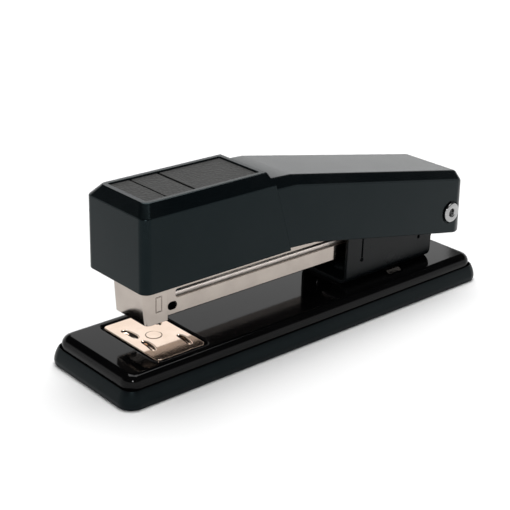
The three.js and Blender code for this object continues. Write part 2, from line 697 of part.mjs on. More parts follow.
function capGeometry() {
  const shell = cut(capBlock(0, CAP_BOTTOM), capBlock(HEAD_WALL, CAP_BOTTOM - 1));
  const bosses = CAP_SCREW_X.map((x) => {
    const foot = armHeight(x) + 0.3;
    return cylinderUp(BOSS_RADIUS, foot, CAP_TOP - HEAD_WALL + 0.2, x, 0, 16);
  });
  const recessHalf = PANEL_HALF_WIDTH + PANEL_GAP;
  const recess = box(
    ...PANEL_RECESS, -recessHalf, recessHalf, CAP_TOP - PANEL_DEPTH, CAP_TOP + 1,
  );
  const pilots = CAP_SCREW_X.map((x) => {
    const foot = armHeight(x) - 1;
    const depth = CAP_SCREW_LENGTH + 1.2;
    return cylinderUp(CAP_SCREW_HOLE_RADIUS, foot, foot + depth, x, 0, 12);
  });
  return cut(join(shell, ...bosses), recess, behindSeam(0), ...pilots);
}

// A panel in the cap's top recess. The grooves are the gaps left between the panels.
function panelGeometry(x0, x1) {
  const width = 2 * PANEL_HALF_WIDTH;
  const shape = roundedRectangle((x0 + x1) / 2, 0, x1 - x0, width, PANEL_CORNER);
  return raise(shape, CAP_TOP - PANEL_DEPTH + 0.05, CAP_TOP - PANEL_SUNK);
}

function frontPanelGeometry() {
  return panelGeometry(PANEL_RECESS[0] + PANEL_GAP, PANEL_SPLITS[0] - PANEL_GROOVES[0] / 2);
}

function labelPanelGeometry() {
  const front = PANEL_SPLITS[0] + PANEL_GROOVES[0] / 2;
  return panelGeometry(front, PANEL_SPLITS[1] - PANEL_GROOVES[1] / 2);
}

function rearPanelGeometry() {
  return panelGeometry(PANEL_SPLITS[1] + PANEL_GROOVES[1] / 2, PANEL_RECESS[1] - PANEL_GAP);
}

// How far a quarter turn of a given radius has fallen away, at a distance from where it ends.
function roundOff(radius, fromEnd) {
  const reach = Math.min(Math.max(radius - fromEnd, 0), radius);
  return radius - Math.sqrt(radius * radius - reach * reach);
}

// Where the cover's cross-section is placed: at each corner of its side outline, then round
// its rear corners. turn goes from 0 to 1 round the corner.
function coverStations(inset) {
  const rear = COVER_REAR - inset;
  const corner = COVER_REAR_CORNER - inset;
  const bend = Math.max(COVER_REAR_BEND - inset, 0.3);
  const knots = [...COVER_TOP_LINE, ...COVER_BOTTOM_LINE].map(([x]) => x);
  const ordered = [...new Set(knots)].filter((x) => x < COVER_REAR).sort((a, b) => a - b);
  const stations = ordered.map((x) => ({ x, drop: 0, narrow: 0, turn: 0 }));
  for (const degrees of [0, 30, 60, 90]) {
    const angle = THREE.MathUtils.degToRad(degrees);
    const x = rear - corner + corner * Math.sin(angle);
    const narrow = corner * (1 - Math.cos(angle));
    stations.push({ x, drop: roundOff(bend, rear - x), narrow, turn: Math.sin(angle) });
  }
  return stations;
}

// The cover's outer block, or with an inset, the hollow inside it. The outline's second
// coordinate is a level: 0 at the bottom edge, 1 at the foot of the shoulder, 2 at the top.
function coverBlock(inset, bottomDrop) {
  const half = HEAD_HALF_WIDTH - inset;
  const flat = half - COVER_SHOULDER.width;
  const outline = polygon([
    [-half, 0], [half, 0], [half, 1], [flat, 2], [-flat, 2], [-half, 1],
  ]);
  return sweep(outline, coverStations(inset), (station, y, height) => {
    const level = Math.round(height);
    const top = lineHeight(COVER_TOP_LINE, station.x) - inset - station.drop;
    const shoulder = top - COVER_SHOULDER.height;
    const foot = COVER_REAR_FOOT * station.turn * station.turn;
    const bottom = lineHeight(COVER_BOTTOM_LINE, station.x) - bottomDrop + foot;
    const lean = level === 0 ? COVER_REAR_LEAN * station.turn : 0;
    const narrow = level === 2 ? station.drop : station.narrow;
    return [station.x + lean, y - Math.sign(y) * narrow, [bottom, shoulder, top][level]];
  });
}

// A ring-shaped groove sunk in the cover's side round the rivet's head.
function eyeletGroove(side) {
  const { inner, outer, depth } = EYELET_GROOVE;
  const floor = side * (HEAD_HALF_WIDTH - depth);
  const open = side * (HEAD_HALF_WIDTH + 1);
  const y0 = Math.min(floor, open);
  const y1 = Math.max(floor, open);
  const wide = cylinderAcross(outer, y0, y1, PIVOT_X, PIVOT_Z, 28);
  return cut(wide, cylinderAcross(inner, y0 - 1, y1 + 1, PIVOT_X, PIVOT_Z, 28));
}

function coverGeometry() {
  const shell = cut(coverBlock(0, 0), coverBlock(HEAD_WALL, 4));
  const block = box(CAP_FRONT, 40, -SOLE_WIDTH, SOLE_WIDTH, 0, CAP_TOP + SOLE_WIDTH);
  const inFront = cut(block, behindSeam(SEAM_GAP));
  const behind = COVER_REAR + 2 * COVER_REAR_LEAN;
  const half = REAR_OPENING_HALF;
  const opening = box(PIVOT_X, behind, -half, half, 0, REAR_WALL_BOTTOM);
  return cut(shell, inFront, opening, eyeletGroove(-1), eyeletGroove(1), pinHole());
}

function armHeight(x) {
  const slope = (ARM.topRear - ARM.topFront) / (ARM.rear - ARM.front);
  return ARM.topFront + slope * (x - ARM.front);
}

function armGeometry() {
  const half = ARM_HALF_WIDTH;
  const web = across(polygon([
    [ARM.front, ARM.topFront - ARM.sheet], [ARM.rear, ARM.topRear - ARM.sheet],
    [ARM.rear, ARM.topRear], [ARM.front, ARM.topFront],
  ]), half);
  const sideOutline = polygon([
    [ARM_SIDE_FRONT, ARM_SIDE_BOTTOM[0]], [ARM_SIDE_KINK, ARM_SIDE_BOTTOM[1]],
    [PIVOT_X - 4.5, PIVOT_Z - 3.3], [PIVOT_X + 3.9, PIVOT_Z + 4],
    [ARM.rear, ARM.topRear - 0.1], [ARM_SIDE_FRONT, armHeight(ARM_SIDE_FRONT) - 0.1],
  ]);
  const ear = cylinderAcross(ARM_EAR, -half, half, PIVOT_X, PIVOT_Z, 24);
  const between = half - ARM_SIDE_SHEET;
  const hollow = box(CAP_FRONT, COVER_REAR, -between, between, 0, CAP_TOP);
  const sides = cut(join(across(sideOutline, half), ear), hollow);
  const screwHoles = CAP_SCREW_X.map((x) => {
    return cylinderUp(CAP_SCREW_HOLE_RADIUS, CHANNEL_TOP, CAP_TOP, x, 0, 12);
  });
  return cut(join(web, sides), pinHole(), ...screwHoles);
}

function driverGeometry() {
  const half = DRIVER_WIDTH / 2;
  const back = DRIVER_X + DRIVER_THICKNESS;
  const top = ARM.topFront - ARM.sheet - SEAT_GAP;
  const blade = box(DRIVER_X, back, -half, half, DRIVER_BOTTOM, top);
  const flange = box(DRIVER_X, back + CLAMP_LENGTH, -half, half, top - DRIVER_THICKNESS, top - 0.3);
  return join(blade, flange);
}

function clampGeometry() {
  const z0 = ARM.topFront + SEAT_GAP;
  const middle = DRIVER_X + CLAMP_LENGTH / 2;
  const shape = roundedRectangle(middle, 0, CLAMP_LENGTH, DRIVER_WIDTH, 1);
  return raise(shape, z0, z0 + CLAMP_HEIGHT);
}

function capScrewGeometry(x) {
  const seat = armHeight(x) - ARM.sheet - 0.15;
  const head = CAP_SCREW_HEAD_RADIUS;
  const shank = CAP_SCREW_RADIUS;
  const tip = seat + CAP_SCREW_LENGTH;
  return turned([
    [0, seat - 1.3], [head - 0.6, seat - 1.3], [head, seat - 0.6], [head, seat],
    [shank, seat], [shank, tip], [0, tip],
  ], x, 0, 14);
}

function headSpringGeometry() {
  const { rear, front, width, thickness } = HEAD_SPRING;
  const fixed = armHeight(rear) - ARM.sheet - thickness - 0.1;
  return leafSpring(rear, fixed, front, CHANNEL_TOP + 0.3, width, thickness);
}

// ---- assembly ----

const stapler = new THREE.Group();

function add(name, geometry, finish) {
  const bare = mergeVertices(geometry);
  bare.computeVertexNormals();
  const mesh = new THREE.Mesh(bare, new THREE.MeshStandardMaterial(finish));
  mesh.name = name;
  stapler.add(mesh);
}

add('base_sole', soleGeometry(), BLACK_PLASTIC);
add('base_plate', steelBaseGeometry(), BLACK_PAINT);
add('base_bracket', bracketGeometry(), BLACK_STEEL);
add('bracket_rivet_front', bracketRivetGeometry(RIVET_X[0]), STEEL);
add('bracket_rivet_rear', bracketRivetGeometry(RIVET_X[1]), STEEL);
add('lift_spring', liftSpringGeometry(), NICKEL);
add('pivot_rivet', pivotRivetGeometry(), NICKEL);
add('pivot_bush_near', pivotBushGeometry(-1), STEEL);
add('pivot_bush_far', pivotBushGeometry(1), STEEL);

add('anvil_plate', anvilPlateGeometry(), NICKEL);
add('anvil_post', anvilPostGeometry(), STEEL);
add('anvil_button', anvilButtonGeometry(), STEEL);
add('anvil_spring', anvilSpringGeometry(), STEEL);

add('magazine_channel', channelGeometry(), NICKEL);
add('front_housing', housingGeometry(), NICKEL);
add('staple_rail', railGeometry(), NICKEL);
add('rail_end', railEndGeometry(), STEEL);
add('spring_rod', rodGeometry(), STEEL);
add('pusher_spring', pusherSpringGeometry(), STEEL);
add('pusher', pusherGeometry(), BLACK_PLASTIC);

add('head_cap', capGeometry(), BLACK_PLASTIC);
add('cap_panel_front', frontPanelGeometry(), TEXTURED);
add('cap_panel_label', labelPanelGeometry(), TEXTURED);
add('cap_panel_rear', rearPanelGeometry(), TEXTURED);
add('rear_cover', coverGeometry(), BLACK_PLASTIC);
add('head_arm', armGeometry(), BLACK_STEEL);
add('driver_blade', driverGeometry(), STEEL);
add('driver_clamp', clampGeometry(), STEEL);
add('head_spring', headSpringGeometry(), STEEL);
add('cap_screw_front', capScrewGeometry(CAP_SCREW_X[0]), STEEL);
add('cap_screw_rear', capScrewGeometry(CAP_SCREW_X[1]), STEEL);

export default stapler;
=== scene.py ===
"""Looks for a full-strip desk stapler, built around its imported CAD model.

Shapes are made in millimetres and scaled to metres once they are finished.
"""

import json
import math

import bmesh
import bpy
from mathutils import Matrix, Vector

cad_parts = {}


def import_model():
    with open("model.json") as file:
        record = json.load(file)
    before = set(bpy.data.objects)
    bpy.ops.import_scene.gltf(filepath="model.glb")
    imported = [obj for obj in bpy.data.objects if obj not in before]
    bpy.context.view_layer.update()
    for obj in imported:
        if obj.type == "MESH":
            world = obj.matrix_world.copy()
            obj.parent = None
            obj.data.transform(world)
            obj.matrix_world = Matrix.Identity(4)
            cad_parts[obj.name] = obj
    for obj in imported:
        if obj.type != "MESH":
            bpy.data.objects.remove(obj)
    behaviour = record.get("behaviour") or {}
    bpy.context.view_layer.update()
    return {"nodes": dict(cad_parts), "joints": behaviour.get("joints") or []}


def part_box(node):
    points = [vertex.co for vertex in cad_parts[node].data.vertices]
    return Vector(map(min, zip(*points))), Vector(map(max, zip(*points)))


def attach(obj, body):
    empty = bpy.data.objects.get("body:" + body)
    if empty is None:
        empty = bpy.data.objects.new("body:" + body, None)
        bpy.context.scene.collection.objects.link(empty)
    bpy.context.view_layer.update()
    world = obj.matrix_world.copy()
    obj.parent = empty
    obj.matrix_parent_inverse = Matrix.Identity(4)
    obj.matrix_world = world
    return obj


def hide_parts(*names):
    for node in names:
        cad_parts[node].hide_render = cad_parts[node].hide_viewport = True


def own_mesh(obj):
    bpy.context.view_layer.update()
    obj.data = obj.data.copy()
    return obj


MM = 0.001

# Meshes: how near points are merged, on a turned piece's axis and elsewhere, how many degrees
# count as flat, and how many as sharp.
AXIS_MERGE = 1e-4
MERGE = 1e-3
FLAT_ANGLE = 0.4
SHARP_EDGE = 40
NORMAL_WEIGHT = 80

# Camera.
CAMERA_AT = (-269.32, -283.71, 188.45)
CAMERA_TARGET = (-13.75, 0.0, 27.63)
CAMERA_ROLL = 1.757
CAMERA_LENS = 84.93
CAMERA_SENSOR = 36.0

# Light: sky steps are (sine of the elevation, brightness).
HORIZON_STRENGTH = 1.7
SKY_STEPS = ((0.0, 0.7), (0.25, 0.68), (0.34, 0.3), (0.4, 0.04), (0.5, 0.015), (1.0, 0.02))
KEY_AT = (0.35, 0.32, 1.68)
KEY_SIZE = (1.4, 1.4)
KEY_POWER = 37.0
BACK_AT = (0.86, 1.08, 0.7)
BACK_SIZE = (0.8, 0.36)
BACK_POWER = 1.2
FRONT_AT = (-0.33, -0.36, 0.3)
FRONT_SIZE = (0.06, 0.06)
FRONT_POWER = 0.6
FLOOR_COLOUR = (0.92, 0.92, 0.92)
FLOOR_HALF = 3.0
CLIP = (0.01, 20)

# Sole: the steps up its outside are (inset, height).
SOLE_CORNER = 5.5
SOLE_STEPS = (
    (0.8, 0.0), (0.35, 0.25), (0.1, 0.8), (0.0, 1.8), (0.08, 2.6), (0.3, 3.5),
    (0.62, 4.4), (1.0, 5.2), (1.28, 5.75), (1.42, 6.0), (1.6, 6.2),
)
SOLE_RIM = 1.9
SOLE_RIM_EDGE = 0.1
SOLE_FLOOR = 1.6
BUTTON_HOLE = 5.8

# Steel base.
BASE_CORNER = 4.9
BASE_SHOULDER = 3.2
BASE_SHEET = 1.2
RECESS_GAP = 1.1
RECESS_DEPTH = 1.6
RECESS_CORNER = 2.6
RECESS_LIP = 0.45
RECESS_LIP_ANGLE = 50

# Anvil.
ANVIL_CORNER = 1.8
ANVIL_EDGE = 0.3
ANVIL_FOOT_EDGE = 0.25
GROOVE_EDGE = 0.1
GROOVE_EDGE_ANGLE = 35
GROOVE_DEPTH = 1.05
GROOVE_WIDTH = 2.6
GROOVE_LENGTH = 8.3
GROOVE_BOW = 0.45
GROOVE_STEPS = 16
GROOVE_SIDES = 16
GROOVE_TIP = 0.02
CLINCH = {"x": -5.9, "y": 5.1, "turn": 0.1}
PINNING = {"x": 6.0, "y": 8.6, "turn": 0.1}
POST_RADIUS = 1.7
POST_EDGE = 0.2
POST_FIT = 0.05
POST_CLEARANCE = 0.15
POST_HEAD = {"radius": 2.6, "depth": 0.45, "gap": 0.2}
# The head's rim in (inset, drop) steps, and its dish in (share of the radius, drop) steps.
POST_HEAD_RIM = ((0.0, 0.12), (0.04, 0.04), (0.14, 0.0))
POST_HEAD_DISH = ((0.5, 0.0), (0.4, 0.06), (0.0, 0.08))

# Bracket.
BRACKET_SHEET = 1.3
BRACKET_EDGE = 0.16
BRACKET_BEND = 3.2
BRACKET_CORNER = 1.0
SLIT = {"x": 28.0, "width": 0.7, "bottom": 18.9, "end": 0.8}
DIMPLE = {"x": 58.6, "z": 20.4, "radius": 0.7}
BEND_WINDOW = {"front": 43.5, "rear": 51.5, "depth": 2.6, "height": 2.4}
BRACKET_REAR = 65.8
BRACKET_THROAT = 19.6
BRACKET_TOP_FRONT = 31.6
BRACKET_EAR = 6.2
RIVETS_X = (30.0, 58.0)
RIVET_HOLE = 2.05

# Pivot.
PIN_RADIUS = 2.5
PIN_HOLE = 2.65
EYELET_HEIGHT = 1.1
EYELET_STEPS = (
    (3.8, 0.0), (3.8, 0.4), (3.74, 0.62), (3.56, 0.84), (3.26, 1.0), (2.8, 1.1), (2.35, 1.07),
    (1.95, 0.96), (1.65, 0.78), (1.45, 0.5), (1.35, 0.1), (1.3, -0.6), (1.2, -1.1), (0.0, -1.1),
)
EYELET_GROOVE = {"inner": 3.3, "outer": 4.3, "depth": 0.35}

# Magazine.
CHANNEL_SHEET = 0.9
CHANNEL_EDGE = 0.12
CHANNEL_BEND = 0.5
CHANNEL_INNER_BEND = 0.6
CHANNEL_TOP = 31.5
CHANNEL_EAR_FRONT = 59.2
CHANNEL_FRONT_CORNER = 0.5
CHANNEL_EAR_CORNER = 1.5
# The channel's rear ear, in distances from the pivot.
CHANNEL_EAR = {"foot": 1, "below": 2, "above": 1.5, "behind": 2.5, "ahead": 7}
WINDOW = {"front": -54.4, "rear": 28.0, "bottom": 25.9, "top": 28.9, "corner": 0.8}
OVAL = {"x": -55.7, "z": 23.5, "length": 3.7, "height": 2.8, "roundness": 0.98}
HOUSING_SHEET = 0.8
HOUSING_EDGE = 0.15
HOUSING_CORNER = 1.6
HOUSING_LEAN = 0.9
HOUSING_PRESS = {"front": -63.0, "rear": -60.5, "bottom": 23.2, "top": 28.6}
PRESS_WIDTH = 0.3
PRESS_DEPTH = 0.12
ANVIL_SPRING = {"radius": 3.1, "wire": 0.35, "turns": 4}
PUSHER_SPRING = {"radius": 1.75, "wire": 0.28, "turns": 44}

# Head.
HEAD_WALL = 1.7
HEAD_EDGE = 0.3
HEAD_EDGE_ANGLE = 24
CAP_CORNER = 3.0
CAP_CORNER_INSET = 0.8
CAP_CHAMFER = {"front": 2.9, "side": 3.65, "height": 3.8, "corner": 0.8}
PANEL_DEPTH = 1.1
PANEL_GAP = 0.1
PANEL_CORNER = 0.6
PANEL_EDGE = 0.1
SEAM_X = -11.4
SEAM_LEAN = 17.6
SEAM_GAP = 0.06
BOSSES_X = (-44.0, -28.0)
BOSS_RADIUS = 3.4
BOSS_HOLE = 1.5
BOSS_HOLE_DEPTH = 7.2
BOSS_GAP = 0.3
BOSS_OVERLAP = 0.2
ARM_TOP = {"front": 42.9, "rear": 38.8, "rear_x": 62.0}
COVER_TOP_LINE = ((-26.0, 60.3), (-10.2, 59.7), (78.0, 43.2))
COVER_BOTTOM_LINE = ((-26.0, 34.8), (-11.4, 34.7), (0.0, 34.0), (78.0, 18.8))
COVER_SHOULDER = {"width": 3.15, "height": 2.8, "round": 1.5}
COVER_REAR = 78.0
COVER_REAR_LEAN = 1.5
COVER_REAR_CORNER = 4.0
COVER_REAR_STEPS = 12
COVER_REAR_BEND = 3.2
COVER_REAR_FOOT = 1.3
REAR_OPENING_HALF = 12.2
REAR_WALL_BOTTOM = 37.8

# Looks: the middle ranges of the noise that colour and roughness are spread over.
# Teal tint laid on the plastic's reflections: a painted reflection of teal surroundings.
PAINTED_REFLECTION_TINT = (0.62, 0.93, 1.0, 1.0)
COLOUR_NOISE = (0.35, 0.68)
ROUGHNESS_NOISE = (0.3, 0.7)


# ---- helpers: meshes ----


def box_mm(node):
    low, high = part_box(node)
    return low / MM, high / MM


def axis_at(node):
    """Where a node's upright axis stands, in plan."""
    low, high = box_mm(node)
    return ((low + high) / 2).xy


def new_object(name, bm):
    mesh = bpy.data.meshes.new(name)
    bmesh.ops.recalc_face_normals(bm, faces=bm.faces)
    bm.to_mesh(mesh)
    bm.free()
    obj = bpy.data.objects.new(name, mesh)
    bpy.context.scene.collection.objects.link(obj)
    return obj


def loft(name, loops):
    """A closed solid through a list of loops, each with the same number of points."""
    bm = bmesh.new()
    rings = [[bm.verts.new(point) for point in loop] for loop in loops]
    count = len(rings[0])
    for lower, upper in zip(rings, rings[1:]):
        for i in range(count):
            j = (i + 1) % count
            bm.faces.new((lower[i], lower[j], upper[j], upper[i]))
    bm.faces.new(reversed(rings[0]))
    bm.faces.new(rings[-1])
    return new_object(name, bm)


def on_axis(axis, a, b, c):
    """Outline point (a, b) at distance c along an axis."""
    if axis == "x":
        return (c, a, b)
    if axis == "y":
        return (a, c, b)
    return (a, b, c)


def prism(name, outline, axis, low, high):
    return loft(name, [[on_axis(axis, a, b, c) for a, b in outline] for c in (low, high)])


def block(name, low, high):
    outline = ((low[0], low[1]), (high[0], low[1]), (high[0], high[1]), (low[0], high[1]))
    return prism(name, outline, "z", low[2], high[2])


def fillet(points, segments=8):
    """Rounds each (a, b, radius) corner of an outline."""
    outline = []
    count = len(points)
    for i, (a, b, radius) in enumerate(points):
        corner = Vector((a, b))
        if radius <= 0:
            outline.append((a, b))
            continue
        to_last = (Vector(points[i - 1][:2]) - corner).normalized()
        to_next = (Vector(points[(i + 1) % count][:2]) - corner).normalized()
        half_angle = to_last.angle(to_next) / 2
        middle = (to_last + to_next).normalized()
        centre = corner + middle * (radius / math.sin(half_angle))
        tangent = radius / math.tan(half_angle)
        start = corner + to_last * tangent - centre
        end = corner + to_next * tangent - centre
        turn = start.angle_signed(end)
        for step in range(segments + 1):
            point = centre + Matrix.Rotation(-turn * step / segments, 2) @ start
            outline.append((point.x, point.y))
    return outline


def rounded_loop(centre, half, radius, z, segments=8):
    """A level rectangle with rounded corners, as a list of points."""
    x, y = half
    corners = ((-x, -y, radius), (x, -y, radius), (x, y, radius), (-x, y, radius))
    return [(centre[0] + a, centre[1] + b, z) for a, b in fillet(corners, segments)]


def stack(name, centre, half, corner, profile, segments=8):
    """A rounded rectangle carried up through (inset, height) steps."""
    loops = []
    for inset, z in profile:
        inner = (half[0] - inset, half[1] - inset)
        loops.append(rounded_loop(centre, inner, corner - inset, z, segments))
    return loft(name, loops)


def quarter(inset, z, radius, segments):
    """(inset, height) steps up and inwards round a quarter turn."""
    steps = []
    for i in range(segments + 1):
        angle = math.radians(90 * i / segments)
        steps.append((inset - radius * math.cos(angle), z + radius * math.sin(angle)))
    return steps


def rod(name, radius, axis, at, low, high, segments=48):
    outline = []
    for i in range(segments):
        angle = 2 * math.pi * i / segments
        outline.append((at[0] + radius * math.cos(angle), at[1] + radius * math.sin(angle)))
    return prism(name, outline, axis, low, high)


def turned(name, profile, axis, at, segments=48):
    """A solid of revolution from (radius, height) steps, which are closed into a loop."""
    bm = bmesh.new()
    rings = []
    for radius, height in profile:
        ring = []
        for i in range(segments):
            angle = 2 * math.pi * i / segments
            a = at[0] + radius * math.cos(angle)
            b = at[1] + radius * math.sin(angle)
            ring.append(bm.verts.new(on_axis(axis, a, b, height)))
        rings.append(ring)
    closed = zip(rings, rings[1:] + rings[:1])
    for lower, upper in closed:
        for i in range(segments):
            j = (i + 1) % segments
            bm.faces.new((lower[i], lower[j], upper[j], upper[i]))
    bmesh.ops.remove_doubles(bm, verts=bm.verts, dist=AXIS_MERGE)
    loose = [edge for edge in bm.edges if not edge.link_faces]
    bmesh.ops.delete(bm, geom=loose, context="EDGES")
    return new_object(name, bm)


def bake(obj):
    """Makes the object's modifiers part of its mesh."""
    graph = bpy.context.evaluated_depsgraph_get()
    mesh = bpy.data.meshes.new_from_object(obj.evaluated_get(graph))
    obj.modifiers.clear()
    obj.data = mesh
    return obj


def combine(target, tools, operation):
    for tool in tools:
        modifier = target.modifiers.new("combine", "BOOLEAN")
        modifier.operation = operation
        modifier.solver = "EXACT"
        modifier.object = tool
        bake(target)
        bpy.data.objects.remove(tool)
    return target


def cut(target, *tools):
    """Takes the tools away. They reach at least 1 mm past what they cut."""
    return combine(target, tools, "DIFFERENCE")


def join(target, *tools):
    return combine(target, tools, "UNION")


def clean(obj):
    """Merges faces that lie in one plane, so that edges can be rounded evenly."""
    bm = bmesh.new()
    bm.from_mesh(obj.data)
    bmesh.ops.remove_doubles(bm, verts=bm.verts, dist=MERGE)
    bmesh.ops.dissolve_limit(
        bm, angle_limit=math.radians(FLAT_ANGLE), verts=bm.verts, edges=bm.edges
    )
    bm.to_mesh(obj.data)
    bm.free()
    return obj


def soften(obj, width, segments=3, angle=28):
    """Rounds every edge that turns by more than an angle."""
    clean(obj)
    bevel = obj.modifiers.new("round", "BEVEL")
    bevel.width = width
    bevel.segments = segments
    bevel.limit_method = "ANGLE"
    bevel.angle_limit = math.radians(angle)
    bevel.use_clamp_overlap = False
    bevel.miter_outer = "MITER_ARC"
    return bake(obj)


def place(obj, body, nodes, material):
    """Finishes a piece: smooth shading, real size, body, the nodes it stands for and its looks."""
    for polygon in obj.data.polygons:
        polygon.use_smooth = True
    obj.data.set_sharp_from_angle(angle=math.radians(SHARP_EDGE))
    weighted = obj.modifiers.new("normals", "WEIGHTED_NORMAL")
    weighted.keep_sharp = True
    weighted.weight = NORMAL_WEIGHT
    bake(obj)
    obj.data.transform(Matrix.Scale(MM, 4))
    obj.data.materials.clear()
    obj.data.materials.append(material)
    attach(obj, body)
    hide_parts(*nodes)
    return obj


# ---- helpers: materials ----


def new_material(name, colour, roughness, metallic=0.0, specular=0.5):
    material = bpy.data.materials.new(name)
    material.use_nodes = True
    shader = material.node_tree.nodes["Principled BSDF"]
    shader.inputs["Base Color"].default_value = (*colour, 1.0)
    shader.inputs["Roughness"].default_value = roughness
    shader.inputs["Metallic"].default_value = metallic
    shader.inputs["Specular IOR Level"].default_value = specular
    return material


def add_node(material, kind, **inputs):
    node = material.node_tree.nodes.new(kind)
    for name, value in inputs.items():
        node.inputs[name.replace("_", " ")].default_value = value
    return node


def link(material, source, target):
    material.node_tree.links.new(source, target)


def coordinates(material, stretch=(1.0, 1.0, 1.0)):
    """Object coordinates in millimetres, stretched along an axis for brushed marks."""
    source = add_node(material, "ShaderNodeTexCoord")
    mapping = add_node(material, "ShaderNodeMapping")
    mapping.inputs["Scale"].default_value = [1 / MM * share for share in stretch]
    link(material, source.outputs["Object"], mapping.inputs["Vector"])
    return mapping.outputs["Vector"]


def noise(material, vector, scale, detail=3.0):
    node = add_node(material, "ShaderNodeTexNoise", Scale=scale, Detail=detail)
    link(material, vector, node.inputs["Vector"])
    return node.outputs["Fac"]


def spread(material, factor, low, high):
    """Maps the middle of a noise to a range of numbers."""
    node = add_node(material, "ShaderNodeMapRange")
    node.inputs["From Min"].default_value = ROUGHNESS_NOISE[0]
    node.inputs["From Max"].default_value = ROUGHNESS_NOISE[1]
    node.inputs["To Min"].default_value = low
    node.inputs["To Max"].default_value = high
    link(material, factor, node.inputs["Value"])
    return node.outputs["Result"]


def vary_colour(material, factor, low, high):
    ramp = add_node(material, "ShaderNodeValToRGB")
    for element, position, colour in zip(ramp.color_ramp.elements, COLOUR_NOISE, (low, high)):
        element.position = position
        element.color = (*colour, 1.0)
    link(material, factor, ramp.inputs["Fac"])
    shader = material.node_tree.nodes["Principled BSDF"]
    link(material, ramp.outputs["Color"], shader.inputs["Base Color"])


def vary_roughness(material, factor, low, high):
    shader = material.node_tree.nodes["Principled BSDF"]
    link(material, spread(material, factor, low, high), shader.inputs["Roughness"])


def add_bump(material, height, depth_mm):
    bump = add_node(material, "ShaderNodeBump", Strength=1.0, Distance=depth_mm * MM)
    link(material, height, bump.inputs["Height"])
    shader = material.node_tree.nodes["Principled BSDF"]
    link(material, bump.outputs["Normal"], shader.inputs["Normal"])


def plastic(name, low, high, roughness, specular, grain_mm, grain_depth):
    """Moulded plastic: fine spark grain, slightly uneven colour and sheen, and reflections tinted
    teal, a painted reflection of teal surroundings.
    """
    material = new_material(name, low, roughness, 0.0, specular)
    shader = material.node_tree.nodes["Principled BSDF"]
    # Painted reflection: the plastic's reflections are tinted teal, as if they mirrored teal
    # surroundings.
    shader.inputs["Specular Tint"].default_value = PAINTED_REFLECTION_TINT
    vector = coordinates(material)
    cloud = noise(material, vector, 0.06)
    vary_colour(material, cloud, low, high)
    vary_roughness(material, cloud, roughness - 0.012, roughness + 0.015)
    add_bump(material, noise(material, vector, 1 / grain_mm, 2.0), grain_depth)
    return material


def enamel(name, low, high, roughness, specular, ripple_depth):
    """Sprayed enamel: a faint orange peel under the gloss."""
    material = new_material(name, low, roughness, 0.0, specular)
    vector = coordinates(material)
    cloud = noise(material, vector, 0.08)
    vary_colour(material, cloud, low, high)
    vary_roughness(material, cloud, roughness * 0.85, roughness * 1.2)
    add_bump(material, noise(material, vector, 0.7, 1.0), ripple_depth)
    return material


def plated(name, low, high, roughness, stretch, depth):
    """Plated sheet metal, with faint drawn lines along one axis and cloudy tarnish."""
    material = new_material(name, low, roughness, 1.0)
    vector = coordinates(material)
    cloud = noise(material, vector, 0.12, 3.0)
    vary_colour(material, cloud, low, high)
    lines = noise(material, coordinates(material, stretch), 4.0, 4.0)
    vary_roughness(material, lines, roughness * 0.9, roughness * 1.12)
    add_bump(material, lines, depth)
    return material


def leather_grain(name, low, high, roughness, specular):
    """The pebbled texture moulded into the cap's top panels."""
    material = new_material(name, low, roughness, 0.0, specular)
    vector = coordinates(material)
    pebbles = add_node(material, "ShaderNodeTexVoronoi", Scale=1.2)
    pebbles.feature = "SMOOTH_F1"
    link(material, vector, pebbles.inputs["Vector"])
    vary_colour(material, noise(material, vector, 1.6, 4.0), low, high)
    add_bump(material, pebbles.outputs["Distance"], 0.22)
    return material


# ---- base ----


def build_sole(material):
    low, high = box_mm("base_sole")
    centre = (low + high) / 2
    half = (high - low) / 2
    profile = [
        *SOLE_STEPS, (SOLE_RIM - SOLE_RIM_EDGE, high.z), (SOLE_RIM, high.z - SOLE_RIM_EDGE),
        (SOLE_RIM, SOLE_FLOOR),
    ]
    sole = stack("sole", centre, half.xy, SOLE_CORNER, profile, 12)
    cut(sole, rod("hole", BUTTON_HOLE, "z", axis_at("anvil_button"), -1, SOLE_FLOOR + 1))
    place(sole, "base", ["base_sole"], material)


def recess_solid(extra, bottom, top):
    low, high = box_mm("anvil_plate")
    centre = (low + high) / 2
    half = (high - low) / 2
    grown = (half.x + RECESS_GAP + extra, half.y + RECESS_GAP + extra)
    return stack("recess", centre, grown, RECESS_CORNER + extra, [(0, bottom), (0, top)])


def build_base(material):
    low, high = box_mm("base_plate")
    centre = (low + high) / 2
    half = (high - low) / 2
    top = high.z
    shoulder = quarter(BASE_SHOULDER, top - BASE_SHOULDER, BASE_SHOULDER, 14)
    base = stack("base", centre, half.xy, BASE_CORNER, [(0, low.z), *shoulder], 12)
    inner_top = top - BASE_SHEET
    inner_radius = BASE_SHOULDER - BASE_SHEET
    inner = quarter(BASE_SHOULDER, inner_top - inner_radius, inner_radius, 8)
    hollow = stack(
        "hollow", centre, half.xy, BASE_CORNER, [(BASE_SHEET, low.z - 1), *inner], 12
    )
    floor = top - RECESS_DEPTH
    cut(hollow, recess_solid(BASE_SHEET, floor - BASE_SHEET, top + 1))
    recess = recess_solid(0, floor, top + 1)
    at = axis_at("anvil_post")
    post_hole = rod("hole", POST_RADIUS + POST_CLEARANCE, "z", at, 0, top + 1)
    rivet_holes = [rod("hole", RIVET_HOLE, "z", (x, 0), 0, top + 1) for x in RIVETS_X]
    cut(base, hollow, recess, post_hole, *rivet_holes)
    soften(base, RECESS_LIP, 4, RECESS_LIP_ANGLE)
    place(base, "base", ["base_plate"], material)


def bracket_section(half, bottom, top):
    bend = BRACKET_BEND
    sheet = BRACKET_SHEET
    inner = bend - sheet
    return fillet([
        (-half, top, 0), (-half, bottom, bend), (half, bottom, bend), (half, top, 0),
        (half - sheet, top, 0), (half - sheet, bottom + sheet, inner),
        (-half + sheet, bottom + sheet, inner), (-half + sheet, top, 0),
    ])


